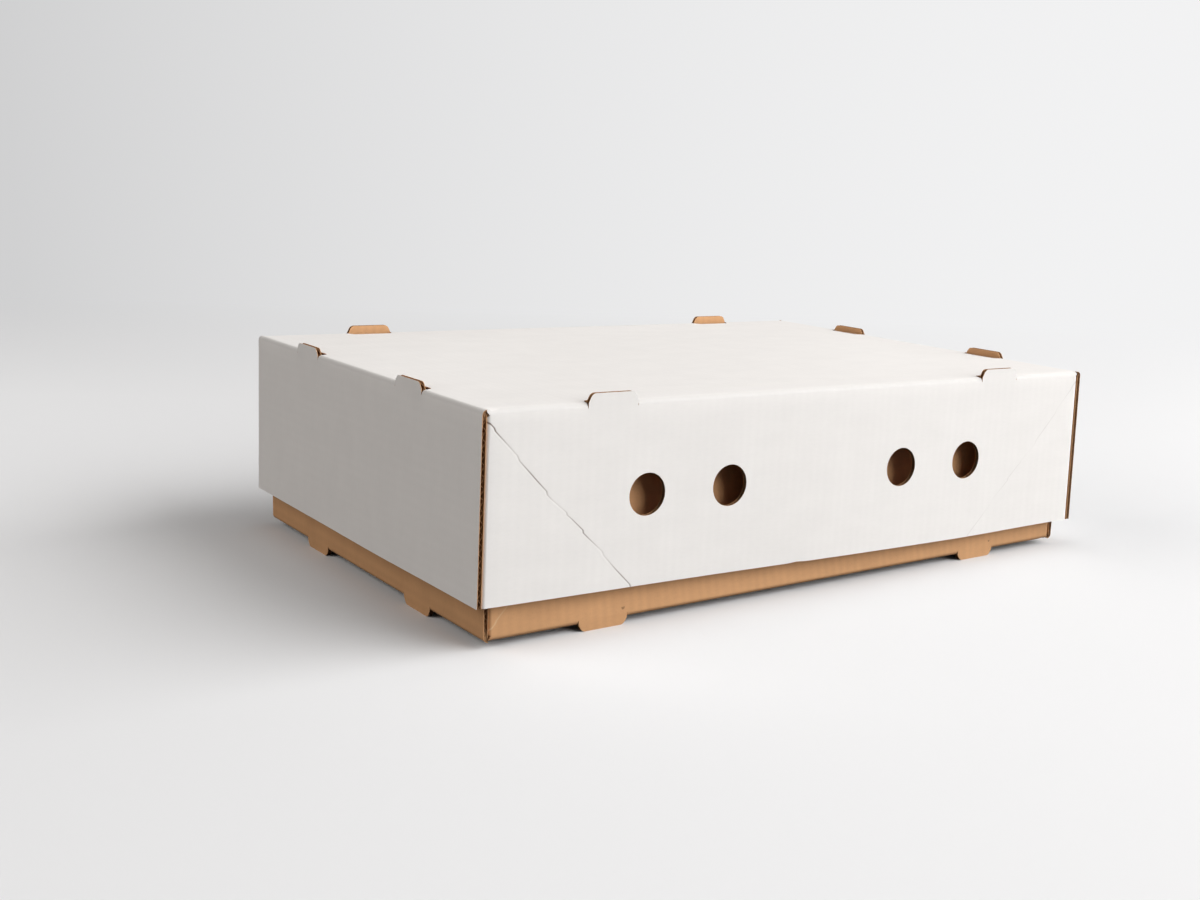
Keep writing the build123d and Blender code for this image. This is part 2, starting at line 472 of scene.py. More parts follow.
def signed_area(loop):
    """Twice the area inside a loop, positive if it runs anticlockwise."""
    ahead = np.roll(loop, -1, 0)
    return (loop[:, 0] * ahead[:, 1] - ahead[:, 0] * loop[:, 1]).sum()


def in_fold(sheet, point):
    """Whether a point of the blank lies in a stretch that bends."""
    au, av, edge = abs(point[0]), abs(point[1]), 0.3 * MM
    past_corner = au - sheet.u_corner + edge
    folded = any(low - edge < value < low + span + edge for value, low, span in (
        (av, sheet.v_fold, sheet.fold_length), (au, sheet.u_fold, sheet.fold_length)))
    return folded or (av > sheet.width / 2 and 0 < past_corner < sheet.corner_length + edge)


def divided(sheet, loop, labels, coarse):
    """The loop with its long segments halved, and the label of each new point."""
    points, kept = [], []
    for here, there, label in zip(loop, np.roll(loop, -1, 0), labels):
        stack = [(here, there)]
        while stack:
            a, b = stack.pop()
            middle = (a + b) / 2
            bends = in_fold(sheet, a) or in_fold(sheet, b) or in_fold(sheet, middle)
            if np.linalg.norm(b - a) > (FOLD_STEP if bends else coarse(a, b)):
                stack += [(middle, b), (a, middle)]
            else:
                points.append(a)
                kept.append(label)
    return np.array(points), np.array(kept)


def sides(loop):
    """The steps from each point of a loop to the next, and to it from the one before."""
    return np.roll(loop, -1, 0) - loop, loop - np.roll(loop, 1, 0)


def hollow_depths(sheet, loop, depth, outline):
    """How deep the board is hollow along a cut: deepest where the flutes' own ends are open."""
    ahead, behind = sides(loop)
    across_flutes = [np.abs(side[:, 0]) > 5 * np.abs(side[:, 1]) for side in (ahead, behind)]
    open_end = across_flutes[0] & across_flutes[1]
    after, before = sides(outline)
    turns = np.abs(before[:, 0] * after[:, 1] - before[:, 1] * after[:, 0])
    lengths = np.linalg.norm(before, axis=1) * np.linalg.norm(after, axis=1)
    corners = outline[turns > 0.1 * lengths]
    away = np.linalg.norm(loop[:, None] - corners[None], axis=2).min(1)
    deep = np.clip(depth + 0.8 * away, depth, sheet.board.flute_depth)
    notch = (sheet.u_fold, sheet.v_fold + sheet.fold_length)
    shallow = 0.6 * np.linalg.norm(np.abs(loop) - notch, axis=1) - 3 * MM
    return np.minimum(np.where(open_end, deep, depth), np.clip(shallow, 0.7 * MM, 1))


def blank_loops(sheet, coarse):
    """Every cut of the blank with the board on its left: points, tab labels and hollow depth."""
    board = sheet.board
    outline = outer_loop(sheet)
    cuts = [(outline, np.zeros(len(outline), int), board.edge_depth)]
    for loop, slot_count in tab_slits(sheet):
        labels = np.where(np.arange(len(loop)) < slot_count, 0, 1)
        cuts.append((loop, labels, board.slit_depth))
    cuts += [(loop, np.zeros(len(loop), int), 0.7 * board.edge_depth)
             for loop in vent_loops(sheet)]
    loops = []
    for number, (loop, labels, depth) in enumerate(cuts):
        if (signed_area(loop) > 0) != (number == 0):
            loop, labels = loop[::-1], labels[::-1]
            labels = np.minimum(labels, np.roll(labels, -1))
        points, kept = divided(sheet, loop, labels, coarse)
        depths = np.full(len(points), depth)
        if number == 0:
            depths = hollow_depths(sheet, points, depth, outline)
        loops.append((points, kept, depths[:, None]))
    return loops


def inward(loop, depth):
    """The loop moved by depth into the board, which lies on its left."""
    normals = []
    for side in sides(loop):
        side /= np.linalg.norm(side, axis=1, keepdims=True)
        normals.append(np.stack([-side[:, 1], side[:, 0]], -1))
    both = 1 + (normals[0] * normals[1]).sum(1, keepdims=True)
    return loop + (normals[0] + normals[1]) / np.maximum(both, MITRE_LIMIT) * depth


def inside(points, loops):
    """Whether each point lies on the board: inside the outline and in none of the cuts."""
    crossings = np.zeros(len(points), int)
    for loop, _, _ in loops:
        ahead = np.roll(loop, -1, 0)
        near = ((points > loop.min(0)) & (points < loop.max(0))).all(1)
        chosen = np.flatnonzero(near)
        for block in np.array_split(chosen, max(1, len(chosen) // 2000)):
            p = points[block]
            y = p[:, 1][:, None]
            spans = (loop[None, :, 1] > y) != (ahead[None, :, 1] > y)
            rise = ahead[:, 1] - loop[:, 1]
            slope = (ahead[:, 0] - loop[:, 0]) / np.where(rise == 0, 1, rise)
            cut = loop[None, :, 0] + (y - loop[None, :, 1]) * slope[None, :]
            crossings[block] += (spans & (p[:, 0][:, None] < cut)).sum(1)
    return crossings % 2 == 1


def lines(stops, steps):
    """Coordinates from -last stop to last, with each stretch between stops cut into steps."""
    values = [0.0]
    for low, high, count in zip(stops, stops[1:], steps):
        values += list(np.linspace(low, high, count + 1)[1:])
    values = np.array(values)
    return np.concatenate([-values[:0:-1], values])


def at_corners(quarter):
    """Points of one quarter of the blank, and their mirror images in the other three."""
    return np.concatenate([quarter * (su, sv) for su in (-1, 1) for sv in (-1, 1)])


def inner_points(sheet, loops):
    """Points spread over the blank: a grid, closer in the folds, and rows beside the creases."""
    count = lambda span: max(1, round(span / CELL))
    u_wall, v_wall = sheet.u_fold + sheet.fold_length, sheet.v_fold + sheet.fold_length
    u_turned = sheet.u_corner + sheet.corner_length
    us = lines([0, sheet.u_corner, u_turned, u_wall, sheet.u_end],
               [count(sheet.u_corner), 8, 5, count(sheet.u_end - u_wall)])
    vs = lines([0, sheet.v_fold, v_wall, sheet.v_end],
               [count(sheet.v_fold), 6, count(sheet.v_end - v_wall)])
    grid = np.stack(np.meshgrid(us, vs), -1).reshape(-1, 2)
    wall_top = sheet.board.fold_radius + 0.1 * MM
    heights = np.arange(wall_top, sheet.height, FOLD_STEP)
    rows = []
    for offset in CREASE_ROWS:
        u = sheet.u_inside - (crease_line(heights) + offset * MM * math.sqrt(2))
        rows.append(np.stack([u, sheet.wall_v(heights)], -1)[u < sheet.u_corner])
    grid_u, grid_v = np.abs(grid[:, 0]), np.abs(grid[:, 1])
    drop = grid_v - sheet.wall_v(0)
    taken = np.abs(sheet.u_inside - grid_u - crease_line(drop)) < 6 * MM
    taken &= (drop > wall_top) & (grid_u < sheet.u_corner - 0.1 * MM)
    us = np.linspace(sheet.u_corner - TURN_MARGIN, u_turned + TURN_MARGIN, 11)
    vs = np.arange(v_wall - 1.2 * MM, v_wall + TURN_REACH, TURN_STEP)
    turns = np.stack(np.meshgrid(us, vs), -1).reshape(-1, 2)
    near = 1.5 * MM
    near_turn = (grid_u > sheet.u_corner - near) & (grid_u < u_turned + near)
    near_turn &= (grid_v > v_wall - near) & (grid_v < v_wall + TURN_REACH + 0.5 * MM)
    creases = at_corners(np.concatenate(rows))
    points = np.concatenate([grid[~taken & ~near_turn], creases, at_corners(turns)])
    points = points[inside(points, loops)]
    edge = np.concatenate([loop for loop, _, _ in loops])
    tree = KDTree(len(edge))
    for number, (u, v) in enumerate(edge):
        tree.insert((u, v, 0), number)
    tree.balance()
    clear = [tree.find((u, v, 0))[2] > CLEAR_OF_CUTS for u, v in points]
    return points[np.array(clear)]


def family_of(sheet, points):
    """The family of each point of the blank by its place, apart from the cuts round the tabs."""
    board = sheet.board
    au, av = np.abs(points[:, 0]), np.abs(points[:, 1])
    short = (au >= sheet.u_fold - TINY) & (av <= sheet.width / 2 + TINY)
    family = np.where(short, SHORT, PANEL_AND_LONG)
    level = sheet.fold_length - board.fold_radius
    for fold, across, along_u, height in tab_rows(sheet):
        along, past = (au, av) if along_u else (av, au)
        beyond = past - fold
        slant = (board.tab_base - board.tab_top) / 2 / height
        room = board.tab_base / 2 - board.kerf / 2 - slant * np.maximum(level - beyond, 0)
        on_tab = (np.abs(along - across) < room) & (beyond > level - height - TINY)
        family = np.where(on_tab & (beyond < sheet.fold_length), TAB, family)
    return family


def loop_family(sheet, points, labels):
    """The family of a cut's points: the labelled ones are on a tab's own side."""
    family = family_of(sheet, points)
    family = np.where(family == TAB, PANEL_AND_LONG, family)
    au, av = np.abs(points[:, 0]), np.abs(points[:, 1])
    side = (au > sheet.u_fold - TINY) & (av < sheet.width / 2)
    family = np.where((family == PANEL_AND_LONG) & side, SHORT, family)
    return np.where(labels == 1, TAB, family)


def board_mesh(sheet, name):
    """The folded board: both liners, and raw edges hollowed between them."""
    board = sheet.board
    loops = blank_loops(sheet, lambda a, b: CUT_STEP)
    points = [loop for loop, _, _ in loops]
    families = [loop_family(sheet, loop, labels) for loop, labels, _ in loops]
    starts = np.cumsum([0] + [len(loop) for loop in points])
    edges = [(start + i, start + (i + 1) % len(loop))
             for start, loop in zip(starts, points) for i in range(len(loop))]
    extra = inner_points(sheet, loops)
    flat = np.concatenate(points + [extra])
    family = np.concatenate(families + [family_of(sheet, extra)])
    found = delaunay_2d_cdt([Vector(p) for p in flat], edges, [], 0, ROUNDING)
    triangles = np.array([tuple(f) for f in found[2]])
    origin = [source[0] if source else -1 for source in found[3]]
    if -1 in origin or len(origin) != len(flat):
        raise RuntimeError("two cuts of the blank cross")
    triangles = np.array(origin)[triangles]
    triangles = triangles[inside(flat[triangles].mean(1), loops)]
    spin = np.array([signed_area(flat[t]) for t in triangles])
    triangles[spin < 0] = triangles[spin < 0][:, ::-1]
    half, core = board.thickness / 2, board.thickness / 2 - board.liner
    count = len(flat)
    layers = [(flat, np.full(count, height), family) for height in (half, -half)]
    faces = [(tuple(t), 0) for t in triangles]
    faces += [(tuple(t[::-1] + count), 1) for t in triangles]
    total = 2 * count
    for start, (loop, labels, depth), kind in zip(starts, loops, families):
        n = len(loop)
        deep = inward(loop, depth)
        rims = [(loop, core), (deep, core), (deep, -core), (loop, -core)]
        layers += [(where, np.full(n, out), kind) for where, out in rims]
        rings = [start + np.arange(n)] + [total + k * n + np.arange(n) for k in range(4)]
        rings.append(start + count + np.arange(n))
        total += 4 * n
        # Slot 2, the fluted sheet's darker paper, lines the hollow between the liners as painted
        # shade
        for slot, ring, below in zip((1, 2, 2, 2, 1), rings, rings[1:]):
            for i in range(n):
                j = (i + 1) % n
                faces.append(((ring[i], below[i], below[j], ring[j]), slot))
    uv, out, kind = (np.concatenate(part) for part in zip(*layers))
    return folded_mesh(sheet, name, uv, out, kind, *zip(*faces))


def folded_mesh(sheet, name, uv, out, family, faces, slots):
    """A mesh of the folded points, with the flat blank kept as its UV map."""
    places = sheet.fold(uv[:, 0], uv[:, 1], out, family)
    mesh = bpy.data.meshes.new(name)
    turned = [tuple(int(i) for i in face[::-1]) for face in faces]
    mesh.from_pydata([tuple(p) for p in places], [], turned)
    mesh.polygons.foreach_set("material_index", np.array(slots, np.int32))
    blank = mesh.uv_layers.new(name="blank")
    corners = np.zeros(len(mesh.loops), np.int32)
    mesh.loops.foreach_get("vertex_index", corners)
    blank.data.foreach_set("uv", (uv[corners] / UV_UNIT).astype(np.float32).ravel())
    # Numbers at each point: the crack beside the crease (partly painted shade), its offset, and
    # painted shade round the folds
    marks = {"cracked": crack_and_shade_strength, "crease_offset": crease_offset, "painted_fold_shade": stretch}
    for label, rule in marks.items():
        values = rule(sheet, uv[:, 0], uv[:, 1], family)
        mark = mesh.attributes.new(label, "FLOAT", "POINT")
        mark.data.foreach_set("value", values.astype(np.float32))
    mesh.polygons.foreach_set("use_smooth", np.ones(len(faces), bool))
    mesh.update()
    mesh.set_sharp_from_angle(angle=math.radians(38))
    return mesh


def flute_ribbon(sheet, name):
    """A flat ribbon along every raw edge, on which the fluted sheet is raised."""
    step = lambda a, b: FLUTE_STEP if abs(b[0] - a[0]) > abs(b[1] - a[1]) * 0.2 else CUT_STEP
    points, family, faces, total = [], [], [], 0
    for loop, labels, depth in blank_loops(sheet, step):
        n = len(loop)
        points += [inward(loop, depth * share) for share in RIBBON_SHARES]
        family += [loop_family(sheet, loop, labels)] * len(RIBBON_SHARES)
        for row in range(len(RIBBON_SHARES) - 1):
            first, second = total + row * n, total + (row + 1) * n
            faces += [(first + i, first + (i + 1) % n, second + (i + 1) % n, second + i)
                      for i in range(n)]
        total += len(RIBBON_SHARES) * n
    flat = np.concatenate(points)
    mesh = bpy.data.meshes.new(name)
    mesh.from_pydata([(u, v, 0) for u, v in flat], [], faces)
    mark = mesh.attributes.new("family", "INT", "POINT")
    mark.data.foreach_set("value", np.concatenate(family).astype(np.int32))
    return mesh


def link(tree, source, target, output=0, entry=0):
    """Joins two nodes, by socket number or name."""
    tree.links.new(source.outputs[output], target.inputs[entry])


def math_node(tree, operation, *values):
    """A math node, whose values are numbers or the nodes that feed it."""
    node = tree.nodes.new("ShaderNodeMath")
    node.operation = operation
    for number, value in enumerate(values):
        if isinstance(value, (int, float)):
            node.inputs[number].default_value = value
        elif isinstance(value, tuple):
            tree.links.new(value[0].outputs[value[1]], node.inputs[number])
        else:
            tree.links.new(value.outputs[0], node.inputs[number])
    return node


def flute_tree():
    """Geometry nodes that raise a flat ribbon into a fluted sheet with a thickness."""
    tree = bpy.data.node_groups.new("Fluted medium", "GeometryNodeTree")
    face = tree.interface
    face.new_socket("Geometry", in_out="INPUT", socket_type="NodeSocketGeometry")
    for name in ("Pitch", "Height", "Thickness"):
        face.new_socket(name, in_out="INPUT", socket_type="NodeSocketFloat")
    face.new_socket("Material", in_out="INPUT", socket_type="NodeSocketMaterial")
    face.new_socket("Geometry", in_out="OUTPUT", socket_type="NodeSocketGeometry")
    new, join, maths = tree.nodes.new, partial(link, tree), partial(math_node, tree)
    enter, leave = new("NodeGroupInput"), new("NodeGroupOutput")
    apart, wave = new("ShaderNodeSeparateXYZ"), new("ShaderNodeCombineXYZ")
    join(new("GeometryNodeInputPosition"), apart)
    turns = maths("DIVIDE", (apart, "X"), (enter, "Pitch"))
    angle = maths("MULTIPLY", turns, 2 * math.pi)
    sine = maths("SINE", angle)
    raised = maths("MULTIPLY", sine, (enter, "Height"))
    middle = maths("DIVIDE", (enter, "Thickness"), 2.0)
    join(maths("SUBTRACT", raised, middle), wave, 0, "Z")
    shape = new("GeometryNodeSetPosition")
    join(enter, shape, "Geometry", "Geometry")
    join(wave, shape, 0, "Offset")
    rise, thick = new("ShaderNodeCombineXYZ"), new("GeometryNodeExtrudeMesh")
    join(enter, rise, "Thickness", "Z")
    thick.mode = "FACES"
    thick.inputs["Individual"].default_value = False
    thick.inputs["Offset Scale"].default_value = 1.0
    join(shape, thick, "Geometry", "Mesh")
    join(rise, thick, 0, "Offset")
    under, both = new("GeometryNodeFlipFaces"), new("GeometryNodeJoinGeometry")
    join(shape, under, "Geometry", "Mesh")
    join(under, both, "Mesh", "Geometry")
    join(thick, both, "Mesh", "Geometry")
    weld, real = new("GeometryNodeMergeByDistance"), new("GeometryNodeRealizeInstances")
    finish = new("GeometryNodeSetMaterial")
    weld.inputs["Distance"].default_value = 0.001 * MM
    join(both, weld, "Geometry", "Geometry")
    join(weld, real, "Geometry", "Geometry")
    join(real, finish, "Geometry", "Geometry")
    join(enter, finish, "Material", "Material")
    join(finish, leave, "Geometry", "Geometry")
    return tree


def set_inputs(modifier, **values):
    """Sets a geometry nodes modifier's inputs by the names of their sockets."""
    for item in modifier.node_group.interface.items_tree:
        if item.in_out == "INPUT" and item.name in values:
            modifier[item.identifier] = values[item.name]


def flute_mesh(sheet, name, material):
    """The fluted sheet that shows at the raw edges, folded up with the board."""
    board = sheet.board
    ribbon = bpy.data.objects.new(name + "_ribbon", flute_ribbon(sheet, name + "_ribbon"))
    bpy.context.scene.collection.objects.link(ribbon)
    modifier = ribbon.modifiers.new("Flutes", "NODES")
    modifier.node_group = flute_tree()
    height = board.thickness / 2 - board.liner - board.medium / 2
    set_inputs(modifier, Pitch=board.pitch, Height=height, Thickness=board.medium,
               Material=material)
    bpy.context.view_layer.update()
    graph = bpy.context.evaluated_depsgraph_get()
    raised = bpy.data.meshes.new_from_object(ribbon.evaluated_get(graph))
    bpy.data.objects.remove(ribbon)
    places = np.zeros(len(raised.vertices) * 3)
    raised.vertices.foreach_get("co", places)
    places = places.reshape(-1, 3)
    family = np.zeros(len(raised.vertices), np.int32)
    raised.attributes["family"].data.foreach_get("value", family)
    faces = [tuple(p.vertices) for p in raised.polygons]
    slots = [0] * len(faces)
    return folded_mesh(sheet, name, places[:, :2], places[:, 2], family, faces, slots)


def add_piece(name, mesh, body, materials):
    """A finished piece of the carton, riding on its body."""
    piece = bpy.data.objects.new(name, mesh)
    bpy.context.scene.collection.objects.link(piece)
    for material in materials:
        mesh.materials.append(material)
    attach(piece, body)
    return piece


def vent_radius(half):
    """The radius of a round hole from half the size of the square box inside it."""
    return (half.x + VENT_SPARE) * math.sqrt(2)


def lid_sheet(scene):
    """The lid's sheet, turned over and set in its tipped place."""
    board, lid = scene.carton_board, scene.carton_lid
    place = (Matrix.Translation(LID_TOP) @ Matrix.Rotation(LID_TIP, 4, "Y")
             @ Matrix.Rotation(math.pi, 4, "X"))
    vents = []
    for centre, half in vent_boxes("lid"):
        own = place.inverted() @ centre
        vents.append((own.x, math.copysign(1, own.y), lid.vent_depth, vent_radius(half)))
    return Sheet(board, lid.length, lid.width, lid.height, lid.tab_height, lid.tab_x, vents,
                 place, lean=lid.lean, nick=LID_KINK, side_height=lid.side_height)


def tray_sheet(scene):
    """The tray's sheet, standing on its feet."""
    board, tray = scene.carton_board, scene.carton_tray
    size = TRAY_HIGH - TRAY_LOW
    vents = [(centre.x, math.copysign(1, centre.y), centre.z - tray.foot_height,
              vent_radius(half)) for centre, half in vent_boxes("tray")]
    place = Matrix.Translation((0, 0, tray.foot_height))
    return Sheet(board, size.x, size.y, size.z - tray.foot_height, tray.foot_height,
                 tray.foot_x, vents, place, bow=tray.bow, sway=-1)


def noise_node(tree, source, scale, detail, stretch):
    """A noise texture on the flat blank, drawn out along one of its directions."""
    noise = tree.nodes.new("ShaderNodeTexNoise")
    noise.inputs["Scale"].default_value = scale
    noise.inputs["Detail"].default_value = detail
    mapping = tree.nodes.new("ShaderNodeMapping")
    mapping.inputs["Scale"].default_value = stretch
    link(tree, source, mapping)
    link(tree, mapping, noise, 0, "Vector")
    return noise


def mix_colour(tree, factor, first, second):
    """A colour mix, from two colours or the nodes that feed them."""
    mix = tree.nodes.new("ShaderNodeMix")
    mix.data_type = "RGBA"
    link(tree, factor, mix, 0, "Factor")
    for socket, value in ((6, first), (7, second)):
        if isinstance(value, bpy.types.Node):
            output = 2 if value.bl_idname == "ShaderNodeMix" else 0
            tree.links.new(value.outputs[output], mix.inputs[socket])
        else:
            mix.inputs[socket].default_value = (*value, 1)
    return mix


def attribute_node(tree, name):
    """A number that the mesh carries at each of its points: the output to link from."""
    node = tree.nodes.new("ShaderNodeAttribute")
    node.attribute_name = name
    return node, "Fac"


def paper_material(name, colour, crack, mottle, speckle, stripe, rough):
    """Paper on fluted board: mottled, flecked with fibres and faintly striped by the flutes, with
    painted shade round its folds and in the crack beside its creases.
    """
    material = bpy.data.materials.new(name)
    material.use_nodes = True
    tree = material.node_tree
    new, join, maths = tree.nodes.new, partial(link, tree), partial(math_node, tree)
    shader = tree.nodes["Principled BSDF"]
    shader.inputs["Roughness"].default_value = rough
    shader.inputs["Specular IOR Level"].default_value = 0.15
    blank, apart = new("ShaderNodeUVMap"), new("ShaderNodeSeparateXYZ")
    blank.uv_map = "blank"
    join(blank, apart)
    cloud, fibre, wash, fleck = (noise_node(tree, blank, *grain)
                                 for grain in (CLOUD, FIBRE, WASH, FLECK))
    board = bpy.context.scene.carton_board
    turns = maths("MULTIPLY", (apart, "X"), 2 * math.pi * UV_UNIT / board.pitch)
    flute = maths("SINE", turns)
    lines = maths("MULTIPLY", flute, maths("MULTIPLY_ADD", wash, 4 * stripe, -stripe))
    cloudy = maths("MULTIPLY_ADD", cloud, mottle * 2, 1 - mottle)
    fibrous = maths("MULTIPLY_ADD", fibre, mottle, -mottle / 2)
    washed = maths("MULTIPLY_ADD", wash, mottle, -mottle / 2)
    flecks = maths("MULTIPLY", maths("POWER", fleck, 9.0), speckle * 60)
    tone = maths("ADD", maths("ADD", cloudy, fibrous), maths("ADD", washed, lines))
    # Painted shade: the paper is darkened round each fold, to tone down the fold's highlight
    painted_fold_shade = attribute_node(tree, "painted_fold_shade")
    tone = maths("MULTIPLY", maths("SUBTRACT", tone, flecks),
                 maths("MULTIPLY_ADD", painted_fold_shade, -PAINTED_FOLD_SHADE, 1.0))
    paint = new("ShaderNodeVectorMath")
    paint.operation = "SCALE"
    paint.inputs[0].default_value = colour
    join(tone, paint, 0, "Scale")
    # The crack beside the crease, in the crack colour; on the white liner that colour is darker
    # than the board beneath, as painted shade
    offset = maths("SUBTRACT", attribute_node(tree, "crease_offset"), CRACK_OFF)
    off = maths("DIVIDE", offset, CRACK_WIDTH)
    line = maths("POWER", math.exp(-1), maths("MULTIPLY", off, off))
    split = maths("MULTIPLY", attribute_node(tree, "cracked"), line)
    split.use_clamp = True
    mix = mix_colour(tree, split, paint, crack)
    tree.links.new(mix.outputs[2], shader.inputs["Base Color"])
    height = maths("MULTIPLY_ADD", flute, 0.35, maths("MULTIPLY", fibre, 0.5))
    bump = new("ShaderNodeBump")
    bump.inputs["Strength"].default_value = 0.16
    bump.inputs["Distance"].default_value = 0.12 * MM
    join(height, bump, 0, "Height")
    join(bump, shader, 0, "Normal")
    return material


def white_paper(scene):
    """The lid's outer liner: bleached, cracked to brown at the creases, with painted shade making
    the crack darker than the board beneath.
    """
    # The crack colour is darker than the kraft under the white: painted shade in the crack
    return paper_material("white liner", scene.carton_lid.paper, (0.22, 0.17, 0.14),
                          0.035, 0.006, 0.004, 0.6)


def kraft_paper(scene, name="kraft liner"):
    """Brown kraft paper, rubbed paler at the creases."""
    return paper_material(name, scene.carton_tray.paper, (0.66, 0.43, 0.25),
                          0.10, 0.02, 0.018, 0.75)


def hollow_shade_and_flute_paper(scene):
    """The recycled paper of the fluted sheet, darker than the kraft. It also lines the hollows
    inside the board, where its darker colour is painted shade.
    """
    if "fluting_and_hollow_shade" in bpy.data.materials:
        return bpy.data.materials["fluting_and_hollow_shade"]
    # 0.55 of the kraft: partly the fluted sheet's own darker colour, partly painted shade in the
    #                    hollows
    darkened = [0.55 * part for part in scene.carton_tray.paper]
    return paper_material("fluting_and_hollow_shade", darkened, darkened, 0.12, 0.02, 0.0, 0.85)


class CARTON_OT_lid(bpy.types.Operator):
    """Fold the lid's board, white outside and kraft inside"""
    bl_idname = "carton.lid"
    bl_label = "Lid"

    def execute(self, context):
        sheet = lid_sheet(context.scene)
        mesh = board_mesh(sheet, "lid_board")
        materials = [white_paper(context.scene), kraft_paper(context.scene, "kraft inside"),
                     hollow_shade_and_flute_paper(context.scene)]
        piece = add_piece("lid_board", mesh, "lid", materials)
        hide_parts("lid")
        return {"FINISHED"}


class CARTON_OT_tray(bpy.types.Operator):
    """Fold the tray's board, kraft on both sides"""
    bl_idname = "carton.tray"
    bl_label = "Tray"

    def execute(self, context):
        sheet = tray_sheet(context.scene)
        mesh = board_mesh(sheet, "tray_board")
        kraft = kraft_paper(context.scene)
        materials = [kraft, kraft, hollow_shade_and_flute_paper(context.scene)]
        piece = add_piece("tray_board", mesh, "tray", materials)
        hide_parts("tray")
        return {"FINISHED"}


class CARTON_OT_flutes(bpy.types.Operator):
    """Put the fluted sheet into the raw edges of the lid and the tray"""
    bl_idname = "carton.flutes"
    bl_label = "Flutes"

    def execute(self, context):
        paper = hollow_shade_and_flute_paper(context.scene)
        for body, make_sheet in (("lid", lid_sheet), ("tray", tray_sheet)):
            mesh = flute_mesh(make_sheet(context.scene), body + "_flutes", paper)
            add_piece(body + "_flutes", mesh, body, [paper])
        return {"FINISHED"}


def camera_turn(stage):
    """The camera's rotation from its yaw, pitch and roll."""
    ahead = Vector((math.sin(stage.yaw) * math.cos(stage.pitch),
                    math.cos(stage.yaw) * math.cos(stage.pitch), -math.sin(stage.pitch)))
    right = Vector((math.cos(stage.yaw), -math.sin(stage.yaw), 0))
    up = right.cross(ahead)
    across = math.cos(stage.roll) * right + math.sin(stage.roll) * up
    upright = math.cos(stage.roll) * up - math.sin(stage.roll) * right
    return Matrix((across, upright, -ahead)).transposed().to_4x4()


def add_camera(scene):
    """The camera, where the photograph was taken from."""
    stage = scene.carton_stage
    lens = bpy.data.cameras.new("camera")
    lens.sensor_width = SENSOR_WIDTH
    lens.lens = stage.focal * SENSOR_WIDTH / PHOTO_WIDTH
    camera = bpy.data.objects.new("camera", lens)
    scene.collection.objects.link(camera)
    camera.matrix_world = Matrix.Translation(stage.camera) @ camera_turn(stage)
    scene.camera = camera


# Painted light: how much paler the floor is painted on the left, where it lies far from the
# softbox, which lifts the carton's shadow there
FLOOR_PAINTED_LIGHT = 1.14


def backdrop_paper(stage, right, ahead):
    """Pale paper that takes the carton's shadow and glows behind it. Its glow is painted dimmer on
    the left as painted shade, and its floor is painted paler on the left as painted light.
    """
    material = bpy.data.materials.new("backdrop paper")
    material.use_nodes = True
    tree = material.node_tree
    new, join, maths = tree.nodes.new, partial(link, tree), partial(math_node, tree)
    paper = tree.nodes["Principled BSDF"]
    paper.inputs["Roughness"].default_value = 0.9
    paper.inputs["Specular IOR Level"].default_value = 0.15
    where = new("ShaderNodeTexCoord")
    across, along = new("ShaderNodeVectorMath"), new("ShaderNodeVectorMath")
    for node, axis in ((across, right), (along, ahead)):
        node.operation = "DOT_PRODUCT"
        node.inputs[1].default_value = axis
        join(where, node, "Object")
    # The left and right of the picture: how far back the camera is, and how wide it sees
    eye_back, nearest, eye_left, spread = 1.27, 0.4, 0.06, 1.25
    away = maths("MAXIMUM", maths("ADD", (along, "Value"), eye_back), nearest)
    slant = maths("DIVIDE", maths("ADD", (across, "Value"), eye_left), away)
    share = maths("MULTIPLY_ADD", slant, spread, 0.5)
    share.use_clamp = True
    rest = maths("SUBTRACT", 1.0, share)
    eased = maths("SUBTRACT", 1.0, maths("POWER", rest, 1.7))
    # Painted shade: the glow's colour runs from dim on the left to pale on the right
    tint = mix_colour(tree, eased, stage.dim, stage.pale)
    path = new("ShaderNodeLightPath")
    seen = maths("MAXIMUM", (path, "Is Camera Ray"), (path, "Is Glossy Ray"))
    seen = maths("MAXIMUM", seen, (path, "Is Transmission Ray"))
    # Painted light: the floor on the left, from a little before the carton backwards, is painted
    # paler
    left = maths("POWER", rest, 2.0)
    distant = maths("MULTIPLY_ADD", (along, "Value"), 2.2, 1.0)
    distant.use_clamp = True
    painted_light_floor = mix_colour(tree, maths("MULTIPLY", left, distant), stage.floor,
                        [FLOOR_PAINTED_LIGHT * part for part in stage.floor])
    colour = mix_colour(tree, seen, (stage.bounce,) * 3, painted_light_floor)
    tree.links.new(colour.outputs[2], paper.inputs["Base Color"])
    glow, blend = new("ShaderNodeEmission"), new("ShaderNodeMixShader")
    tree.links.new(tint.outputs[2], glow.inputs["Color"])
    behind = maths("MULTIPLY_ADD", (along, "Value"), 0.9, -0.55)
    behind.use_clamp = True
    join(maths("MULTIPLY", behind, seen), blend, 0, "Fac")
    join(paper, blend, 0, 1)
    join(glow, blend, 0, 2)
    join(blend, tree.nodes["Material Output"], 0, "Surface")
    return material


